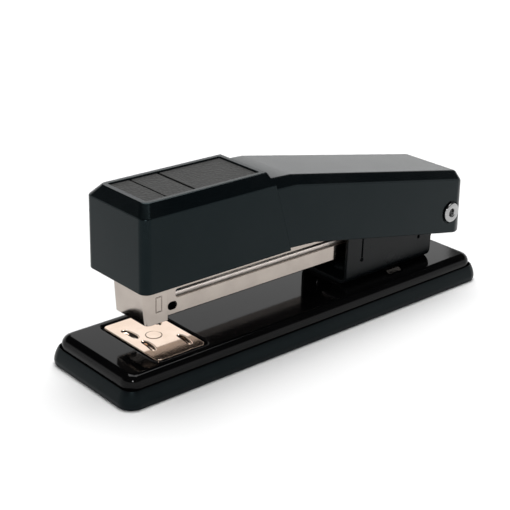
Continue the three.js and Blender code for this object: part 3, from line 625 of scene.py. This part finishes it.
def build_bracket(material, pivot):
    low, high = box_mm("base_bracket")
    half = high.y
    reach = half + 1
    top = high.z + 1
    bracket = prism("bracket", bracket_section(half, low.z, top), "x", low.x, high.x + 1)
    edge = BRACKET_EAR * math.sqrt(0.5)
    outline = fillet([
        (low.x, low.z - 1, 0), (BRACKET_REAR, low.z - 1, 0),
        (BRACKET_REAR, BRACKET_THROAT, BRACKET_CORNER),
        (pivot.x + edge, pivot.z - edge, 0), (pivot.x, pivot.z + BRACKET_EAR, 0),
        (low.x, BRACKET_TOP_FRONT, BRACKET_CORNER),
    ])
    side = prism("side", outline, "y", -reach, reach)
    ear = rod("ear", BRACKET_EAR, "y", (pivot.x, pivot.z), -reach, reach, 64)
    combine(bracket, [join(side, ear)], "INTERSECT")
    half_slit = SLIT["width"] / 2
    slit_low = (SLIT["x"] - half_slit, -reach, SLIT["bottom"])
    slit = block("slit", slit_low, (SLIT["x"] + half_slit, reach, top))
    slit_end = rod("end", SLIT["end"], "y", (SLIT["x"], SLIT["bottom"]), -reach, reach, 24)
    dimple = rod("dimple", DIMPLE["radius"], "y", (DIMPLE["x"], DIMPLE["z"]), -reach, reach, 24)
    pin_hole = rod("pin", PIN_HOLE, "y", (pivot.x, pivot.z), -reach, reach)
    window_top = low.z + BEND_WINDOW["height"]
    inner = half - BEND_WINDOW["depth"]
    windows = []
    for y0, y1 in ((-reach, -inner), (inner, reach)):
        corner = (BEND_WINDOW["front"], y0, low.z - 1)
        windows.append(block("window", corner, (BEND_WINDOW["rear"], y1, window_top)))
    rivet_holes = [rod("hole", RIVET_HOLE, "z", (x, 0), 0, low.z + 4) for x in RIVETS_X]
    cut(bracket, join(slit, slit_end), dimple, pin_hole, *windows, *rivet_holes)
    soften(bracket, BRACKET_EDGE, 2)
    place(bracket, "base", ["base_bracket"], material)


def build_pivot(material, pivot):
    high = box_mm("pivot_rivet")[1]
    seat = high.y - EYELET_HEIGHT
    half = [(PIN_RADIUS, seat)] + [(radius, seat + rise) for radius, rise in EYELET_STEPS]
    profile = [(radius, -height) for radius, height in reversed(half)] + half
    rivet = turned("pivot_rivet_rolled", profile, "y", (pivot.x, pivot.z), 64)
    place(rivet, "base", ["pivot_rivet"], material)


# ---- anvil ----


def groove(centre, spot, side):
    """A cutter for one curved trough: half round in section, and tapered at both ends."""
    loops = []
    for i in range(GROOVE_STEPS + 1):
        t = 2 * i / GROOVE_STEPS - 1
        swell = math.sqrt(max(1 - t ** 4, GROOVE_TIP))
        bow = GROOVE_BOW * (1 - t * t)
        loop = []
        for j in range(GROOVE_SIDES):
            angle = 2 * math.pi * j / GROOVE_SIDES
            across = bow + GROOVE_WIDTH / 2 * swell * math.cos(angle)
            loop.append((across, side * t * GROOVE_LENGTH / 2, swell * math.sin(angle)))
        loops.append(loop)
    cutter = loft("groove", loops)
    squeeze = Matrix.Diagonal((1, 1, GROOVE_DEPTH, 1))
    turn = Matrix.Rotation(side * spot["turn"], 4, "Z")
    at = Matrix.Translation(centre + Vector((spot["x"], side * spot["y"], 0)))
    cutter.data.transform(at @ turn @ squeeze)
    return cutter


def build_anvil(material):
    low, high = box_mm("anvil_plate")
    centre = (low + high) / 2
    half = (high - low) / 2
    profile = [(ANVIL_FOOT_EDGE, low.z), (0, low.z + ANVIL_FOOT_EDGE)]
    profile += quarter(ANVIL_EDGE, high.z - ANVIL_EDGE, ANVIL_EDGE, 4)
    plate = stack("anvil", centre, half.xy, ANVIL_CORNER, profile)
    face = Vector((centre.x, centre.y, high.z))
    grooves = [groove(face, spot, side) for spot in (CLINCH, PINNING) for side in (-1, 1)]
    hole = rod("hole", POST_RADIUS + POST_FIT, "z", centre.xy, 0, high.z + 1)
    sink = rod("sink", POST_HEAD["radius"] + POST_HEAD["gap"], "z", centre.xy,
               high.z - POST_HEAD["depth"], high.z + 1)
    cut(plate, *grooves, hole, sink)
    soften(plate, GROOVE_EDGE, 2, GROOVE_EDGE_ANGLE)
    place(plate, "anvil", ["anvil_plate"], material)


def build_post(material):
    low, high = box_mm("anvil_post")
    head = (high.x - low.x) / 2
    top = high.z
    seat = top - POST_HEAD["depth"]
    profile = [
        (0, low.z), (POST_RADIUS - POST_EDGE, low.z), (POST_RADIUS, low.z + POST_EDGE),
        (POST_RADIUS, seat), (head, seat),
    ]
    profile += [(head - inset, top - drop) for inset, drop in POST_HEAD_RIM]
    profile += [(head * share, top - drop) for share, drop in POST_HEAD_DISH]
    post = turned("anvil_post_head", profile, "z", axis_at("anvil_post"))
    place(post, "anvil", ["anvil_post"], material)


# ---- magazine ----


def build_channel(material, pivot):
    low, high = box_mm("magazine_channel")
    half = high.y
    sheet = CHANNEL_SHEET
    top = high.z + 1
    section = fillet([
        (-half, top, 0), (-half, low.z, CHANNEL_BEND), (half, low.z, CHANNEL_BEND),
        (half, top, 0), (half - sheet, top, 0),
        (half - sheet, low.z + sheet, CHANNEL_INNER_BEND),
        (-half + sheet, low.z + sheet, CHANNEL_INNER_BEND), (-half + sheet, top, 0),
    ], 6)
    channel = prism("magazine", section, "x", low.x, high.x)
    reach = half + 1
    ear = CHANNEL_EAR
    turn = CHANNEL_EAR_CORNER
    outline = fillet([
        (low.x, low.z - 1, 0), (pivot.x + ear["foot"], low.z - 1, 0),
        (high.x, pivot.z - ear["below"], turn), (high.x, pivot.z + ear["above"], turn),
        (pivot.x + ear["behind"], high.z, turn), (pivot.x - ear["ahead"], high.z, turn),
        (CHANNEL_EAR_FRONT, CHANNEL_TOP, turn), (low.x, CHANNEL_TOP, CHANNEL_FRONT_CORNER),
    ], 6)
    combine(channel, [prism("side", outline, "y", -reach, reach)], "INTERSECT")
    corner = WINDOW["corner"]
    window = fillet([
        (WINDOW["front"], WINDOW["bottom"], corner), (WINDOW["rear"], WINDOW["bottom"], corner),
        (WINDOW["rear"], WINDOW["top"], corner), (WINDOW["front"], WINDOW["top"], corner),
    ])
    oval_x = OVAL["length"] / 2
    oval_z = OVAL["height"] / 2
    radius = oval_z * OVAL["roundness"]
    oval = fillet([
        (OVAL["x"] - oval_x, OVAL["z"] - oval_z, radius),
        (OVAL["x"] + oval_x, OVAL["z"] - oval_z, radius),
        (OVAL["x"] + oval_x, OVAL["z"] + oval_z, radius),
        (OVAL["x"] - oval_x, OVAL["z"] + oval_z, radius),
    ])
    pin_hole = rod("pin", PIN_HOLE, "y", (pivot.x, pivot.z), -reach, reach)
    cut(
        channel, prism("window", window, "y", -reach, reach),
        prism("oval", oval, "y", -reach, reach), pin_hole,
    )
    soften(channel, CHANNEL_EDGE, 2)
    place(channel, "magazine", ["magazine_channel"], material)


def housing_shell(inset, low, high, rear):
    """The housing's block, leaning forwards at the top."""
    front = low.x + HOUSING_LEAN
    half = high.y - inset
    loops = []
    for z in (low.z, high.z):
        lean = HOUSING_LEAN * (z - low.z) / (high.z - low.z)
        level = z if inset == 0 else z + (1 if z > low.z else -1)
        x0 = front + inset - lean
        corner = HOUSING_CORNER - inset
        outline = fillet([
            (x0, -half, corner), (rear, -half, 0), (rear, half, 0), (x0, half, corner),
        ])
        loops.append([(x, y, level) for x, y in outline])
    return loft("housing", loops)


def pressed_frame(side, skin):
    """A cutter for the rectangular outline pressed into one side of the housing."""
    press = HOUSING_PRESS
    ends = sorted((side * (skin - PRESS_DEPTH), side * (skin + 1)))
    outer = block("outer", (press["front"], ends[0], press["bottom"]),
                  (press["rear"], ends[1], press["top"]))
    wide = PRESS_WIDTH
    inner = block("inner", (press["front"] + wide, ends[0] - 1, press["bottom"] + wide),
                  (press["rear"] - wide, ends[1] + 1, press["top"] - wide))
    return cut(outer, inner)


def build_housing(material):
    low, high = box_mm("front_housing")
    shell = housing_shell(0, low, high, high.x)
    cut(shell, housing_shell(HOUSING_SHEET, low, high, high.x + 1))
    for side in (-1, 1):
        cut(shell, pressed_frame(side, high.y))
    soften(shell, HOUSING_EDGE, 2)
    place(shell, "magazine", ["front_housing"], material)


# ---- head ----


def behind_seam(offset, bottom):
    """Everything behind the leaning seam between cap and cover."""
    reach = 120
    half = 40
    half_block = block("behind", (0, -half, -reach / 2), (reach, half, reach / 2))
    turn = Matrix.Rotation(math.radians(-SEAM_LEAN), 4, "Y")
    half_block.data.transform(Matrix.Translation((SEAM_X + offset, 0, bottom)) @ turn)
    return half_block


def cap_block(low, high, inset, bottom):
    """The cap's outside, or its hollow. The seam cuts off its rear end."""
    rear = 0.0
    front = low.x + inset
    half = high.y - inset
    corner = CAP_CORNER - inset * CAP_CORNER_INSET
    top = high.z - inset
    chamfer = CAP_CHAMFER
    steps = [
        (bottom, front, half, corner),
        (top - chamfer["height"], front, half, corner),
        (top, front + chamfer["front"], half - chamfer["side"], corner * chamfer["corner"]),
    ]
    loops = []
    for z, x, y, radius in steps:
        outline = fillet([(x, -y, radius), (rear, -y, 0), (rear, y, 0), (x, y, radius)], 10)
        loops.append([(a, b, z) for a, b in outline])
    return loft("cap", loops)


def arm_height(x):
    low = box_mm("head_arm")[0]
    share = (x - low.x) / (ARM_TOP["rear_x"] - low.x)
    return ARM_TOP["front"] + share * (ARM_TOP["rear"] - ARM_TOP["front"])


def build_cap(material):
    low, high = box_mm("head_cap")
    cap = cap_block(low, high, 0, low.z)
    cut(cap, cap_block(low, high, HEAD_WALL, low.z - 1))
    for x in BOSSES_X:
        foot = arm_height(x) + BOSS_GAP
        top = high.z - HEAD_WALL + BOSS_OVERLAP
        join(cap, rod("boss", BOSS_RADIUS, "z", (x, 0), foot, top))
        cut(cap, rod("pilot", BOSS_HOLE, "z", (x, 0), foot - 1, foot + BOSS_HOLE_DEPTH))
    panel_low = box_mm("cap_panel_front")[0]
    panel_high = box_mm("cap_panel_rear")[1]
    recess_low = (panel_low.x - PANEL_GAP, panel_low.y - PANEL_GAP, high.z - PANEL_DEPTH)
    recess_high = (panel_high.x + PANEL_GAP, panel_high.y + PANEL_GAP, high.z + 1)
    cut(cap, block("recess", recess_low, recess_high))
    soften(cap, HEAD_EDGE, 3, HEAD_EDGE_ANGLE)
    cut(cap, behind_seam(0, low.z))
    place(cap, "head", ["head_cap"], material)


def build_panels(material):
    for name in ("front", "label", "rear"):
        node = "cap_panel_" + name
        low, high = box_mm(node)
        centre = (low + high) / 2
        half = (high - low) / 2
        profile = [(0, low.z)] + quarter(PANEL_EDGE, high.z - PANEL_EDGE, PANEL_EDGE, 4)
        panel = stack("panel_" + name, centre, half.xy, PANEL_CORNER, profile, 6)
        place(panel, "head", [node], material)


def line_height(line, x):
    for (x0, z0), (x1, z1) in zip(line, line[1:]):
        if x <= x1:
            break
    return z0 + (z1 - z0) * (x - x0) / (x1 - x0)


def round_off(radius, from_end):
    """How far a quarter turn has fallen away, at a distance from where it ends."""
    reach = min(max(radius - from_end, 0.0), radius)
    return radius - math.sqrt(radius * radius - reach * reach)


def cover_stations(inset):
    """(x, drop of the top, narrowing of the sides, share of the corner turned)."""
    rear = COVER_REAR - inset
    corner = COVER_REAR_CORNER - inset
    bend = COVER_REAR_BEND - inset
    knots = sorted({x for x, _ in (*COVER_TOP_LINE, *COVER_BOTTOM_LINE)})
    stations = [(x, 0.0, 0.0, 0.0) for x in knots if x < COVER_REAR]
    for step in range(COVER_REAR_STEPS + 1):
        angle = math.radians(90 * step / COVER_REAR_STEPS)
        turn = math.sin(angle)
        x = rear - corner + corner * turn
        stations.append((x, round_off(bend, rear - x), corner * (1 - math.cos(angle)), turn))
    return stations


def cover_block(high, inset, bottom_drop):
    half = high.y - inset
    flat = half - COVER_SHOULDER["width"]
    soft = COVER_SHOULDER["round"]
    loops = []
    for x, drop, narrow, turn in cover_stations(inset):
        top = line_height(COVER_TOP_LINE, x) - inset - drop
        shoulder = top - COVER_SHOULDER["height"]
        bottom = line_height(COVER_BOTTOM_LINE, x) - bottom_drop + COVER_REAR_FOOT * turn ** 2
        side = half - narrow
        level = flat - drop
        outline = fillet([
            (-side, bottom, 0), (side, bottom, 0), (side, shoulder, soft),
            (level, top, soft), (-level, top, soft), (-side, shoulder, soft),
        ], 6)
        lean = COVER_REAR_LEAN * turn / (top - bottom)
        loops.append([(x + lean * (top - z), y, z) for y, z in outline])
    return loft("cover", loops)


def build_cover(material, pivot):
    high = box_mm("rear_cover")[1]
    cap_low = box_mm("head_cap")[0]
    cover = cover_block(high, inset=0, bottom_drop=0)
    cut(cover, cover_block(high, inset=HEAD_WALL, bottom_drop=6))
    half = REAR_OPENING_HALF
    opening = block("opening", (pivot.x, -half, 0), (high.x + 1, half, REAR_WALL_BOTTOM))
    pin_hole = rod("pin", PIN_HOLE, "y", (pivot.x, pivot.z), -30, 30)
    cut(cover, opening, pin_hole)
    inner = EYELET_GROOVE["inner"]
    outer = EYELET_GROOVE["outer"]
    floor = high.y - EYELET_GROOVE["depth"]
    for y0, y1 in ((-high.y - 1, -floor), (floor, high.y + 1)):
        ring = [(inner, y0), (outer, y0), (outer, y1), (inner, y1)]
        cut(cover, turned("ring", ring, "y", (pivot.x, pivot.z)))
    soften(cover, HEAD_EDGE, 3, HEAD_EDGE_ANGLE)
    combine(cover, [behind_seam(SEAM_GAP, cap_low.z)], "INTERSECT")
    place(cover, "head", ["rear_cover"], material)


# ---- springs and hidden pieces ----


def coil(name, start, axis, length, radius, wire, turns, steps=20, sides=8):
    """A helical wire, as a closed tube."""
    loops = []
    total = turns * steps
    for i in range(total + 1):
        t = i / total
        angle = 2 * math.pi * turns * t
        loop = []
        for j in range(sides):
            around = 2 * math.pi * j / sides
            reach = radius + wire * math.cos(around)
            a = reach * math.cos(angle)
            b = reach * math.sin(angle)
            c = length * t + wire * math.sin(around)
            loop.append(Vector(on_axis(axis, a, b, c)) + start)
        loops.append(loop)
    return loft(name, loops)


def build_anvil_spring(material):
    low, high = box_mm("anvil_spring")
    centre = (low + high) / 2
    shape = ANVIL_SPRING
    wire = shape["wire"]
    start = Vector((centre.x, centre.y, low.z + wire))
    length = high.z - low.z - 2 * wire
    spring = coil("anvil_coil", start, "z", length, shape["radius"], wire, shape["turns"])
    place(spring, "base", ["anvil_spring"], material)
    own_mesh(spring)


def build_pusher_spring(material):
    low, high = box_mm("pusher_spring")
    centre = (low + high) / 2
    shape = PUSHER_SPRING
    wire = shape["wire"]
    start = Vector((low.x + wire, centre.y, centre.z))
    length = high.x - low.x - 2 * wire
    spring = coil("pusher_coil", start, "x", length, shape["radius"], wire, shape["turns"])
    place(spring, "magazine", ["pusher_spring"], material)
    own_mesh(spring)


def refine(frame, node, body, material, width):
    """A copy of a CAD piece whose edges are rounded."""
    source = frame["nodes"][node]
    bm = bmesh.new()
    bm.from_mesh(source.data)
    bm.transform(Matrix.Scale(1 / MM, 4) @ source.matrix_world)
    bmesh.ops.remove_doubles(bm, verts=bm.verts, dist=MERGE)
    piece = new_object(node + "_finished", bm)
    soften(piece, width, 2, 30)
    place(piece, body, [node], material)


# ---- stage ----


def build_stage():
    bm = bmesh.new()
    half = FLOOR_HALF
    corners = [(-half, -half, 0), (half, -half, 0), (half, half, 0), (-half, half, 0)]
    bm.faces.new([bm.verts.new(c) for c in corners])
    floor = new_object("floor", bm)
    material = new_material("pale_floor", FLOOR_COLOUR, roughness=0.9, specular=0.1)
    floor.data.materials.append(material)


def add_area(name, at, size, power):
    """A white panel of light that faces the origin."""
    data = bpy.data.lights.new(name, "AREA")
    data.shape = "RECTANGLE"
    data.size = size[0]
    data.size_y = size[1]
    data.energy = power
    light = bpy.data.objects.new(name, data)
    light.location = at
    light.rotation_mode = "QUATERNION"
    light.rotation_quaternion = (-Vector(at)).to_track_quat("-Z", "Y")
    bpy.context.scene.collection.objects.link(light)


def build_lights():
    """A bright horizon, a soft key from above, a dim panel behind and a small front light."""
    world = bpy.data.worlds.new("studio")
    world.use_nodes = True
    tree = world.node_tree
    source = tree.nodes.new("ShaderNodeTexCoord")
    split = tree.nodes.new("ShaderNodeSeparateXYZ")
    ramp = tree.nodes.new("ShaderNodeValToRGB")
    tree.links.new(source.outputs["Generated"], split.inputs["Vector"])
    tree.links.new(split.outputs["Z"], ramp.inputs["Fac"])
    tree.links.new(ramp.outputs["Color"], tree.nodes["Background"].inputs["Color"])
    tree.nodes["Background"].inputs["Strength"].default_value = HORIZON_STRENGTH
    elements = ramp.color_ramp.elements
    while len(elements) < len(SKY_STEPS):
        elements.new(0.5)
    for element, (height, level) in zip(elements, SKY_STEPS):
        element.position = height
        element.color = (level, level, level, 1.0)
    bpy.context.scene.world = world
    add_area("key", KEY_AT, KEY_SIZE, KEY_POWER)
    add_area("back", BACK_AT, BACK_SIZE, BACK_POWER)
    add_area("front", FRONT_AT, FRONT_SIZE, FRONT_POWER)


def build_camera():
    data = bpy.data.cameras.new("camera")
    data.lens = CAMERA_LENS
    data.sensor_width = CAMERA_SENSOR
    data.clip_start, data.clip_end = CLIP
    camera = bpy.data.objects.new("camera", data)
    at = Vector(CAMERA_AT) * MM
    aim = Vector(CAMERA_TARGET) * MM - at
    roll = Matrix.Rotation(math.radians(-CAMERA_ROLL), 4, aim)
    turn = aim.to_track_quat("-Z", "Y").to_matrix().to_4x4()
    camera.matrix_world = Matrix.Translation(at) @ roll @ turn
    bpy.context.scene.collection.objects.link(camera)
    bpy.context.scene.camera = camera


# ---- looks ----


def make_looks():
    return {
        "sole_black": plastic(
            "sole_black", (0.0015, 0.002, 0.0025), (0.003, 0.0035, 0.004),
            0.34, 0.1, 0.35, 0.012),
        "head_black": plastic(
            "head_black", (0.0014, 0.0024, 0.003), (0.0026, 0.0036, 0.0042),
            0.19, 0.145, 0.35, 0.006),
        "base_black": enamel(
            "base_black", (0.0015, 0.0015, 0.0017), (0.0022, 0.0022, 0.0024), 0.07, 0.12, 0.003),
        "bracket_black": enamel(
            "bracket_black", (0.002, 0.003, 0.0035), (0.003, 0.004, 0.0045), 0.3, 0.15, 0.006),
        "grained": leather_grain(
            "cap_grain", (0.017, 0.017, 0.016), (0.033, 0.033, 0.032), 0.55, 0.2),
        "nickel": plated(
            "nickel", (0.38, 0.335, 0.3), (0.43, 0.38, 0.34), 0.1, (0.08, 1.0, 1.0), 0.0005),
        # The rail's nickel is painted far lighter than the channel's: a painted highlight for the
        # strip lit through the window.
        "rail_nickel_painted_light": plated(
            "rail_nickel_painted_light", (0.86, 0.79, 0.73), (0.92, 0.85, 0.79), 0.42, (0.08, 1.0, 1.0), 0.0005),
        "anvil_nickel": plated(
            "anvil_nickel", (0.66, 0.52, 0.42), (0.72, 0.58, 0.48), 0.06, (1.0, 0.08, 1.0), 0.0003),
        "bright": plated(
            "bright_steel", (0.36, 0.36, 0.36), (0.44, 0.44, 0.44), 0.2, (1.0, 1.0, 1.0), 0.001),
        "spring": plated(
            "spring_steel", (0.36, 0.35, 0.34), (0.44, 0.43, 0.42), 0.3, (1.0, 1.0, 1.0), 0.002),
    }


# Pieces finished from their CAD shapes: node, body, slot, look and edge rounding.
REFINED = (
    # The rail carries the lighter copy of the nickel, a painted highlight for the strip seen
    # through the window.
    ("staple_rail", "magazine", "nickel", "rail_nickel_painted_light", 0.2),
    ("pusher", "pusher", "head_plastic", "head_black", 0.12),
    ("rail_end", "magazine", "rivet_metal", "bright", 0.2),
    ("head_arm", "head", "bracket", "bracket_black", 0.15),
    ("driver_blade", "head", "spring_steel", "spring", 0.08),
    ("driver_clamp", "head", "spring_steel", "bright", 0.3),
    ("anvil_button", "anvil", "rivet_metal", "bright", 0.2),
    ("lift_spring", "base", "spring_steel", "spring", 0.1),
    ("head_spring", "head", "spring_steel", "spring", 0.1),
)

# Pieces whose CAD shapes are shown as they are.
DRESSED = {
    "bracket_rivet_front": "bracket_black", "bracket_rivet_rear": "bracket_black",
    "pivot_bush_near": "bright", "pivot_bush_far": "bright", "spring_rod": "bright",
    "cap_screw_front": "bright", "cap_screw_rear": "bright",
}


# ---- assembly ----


def main():
    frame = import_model()
    bpy.context.scene.view_settings.view_transform = "Standard"
    joints = {joint["name"]: joint for joint in frame["joints"]}
    pivot = Vector(joints["magazine_hinge"]["pos_m"]) / MM

    looks = make_looks()
    build_sole(looks["sole_black"])
    build_base(looks["base_black"])
    build_bracket(looks["bracket_black"], pivot)
    build_pivot(looks["bright"], pivot)
    build_anvil(looks["anvil_nickel"])
    build_post(looks["anvil_nickel"])
    build_anvil_spring(looks["spring"])
    build_channel(looks["nickel"], pivot)
    build_housing(looks["nickel"])
    build_pusher_spring(looks["spring"])
    build_cap(looks["head_black"])
    build_panels(looks["grained"])
    build_cover(looks["head_black"], pivot)
    for node, body, slot, look, width in REFINED:
        refine(frame, node, body, looks[look], width)
    for node, look in DRESSED.items():
        frame["nodes"][node].data.materials.clear()
        frame["nodes"][node].data.materials.append(looks[look])

    build_stage()
    build_lights()
    build_camera()


main()
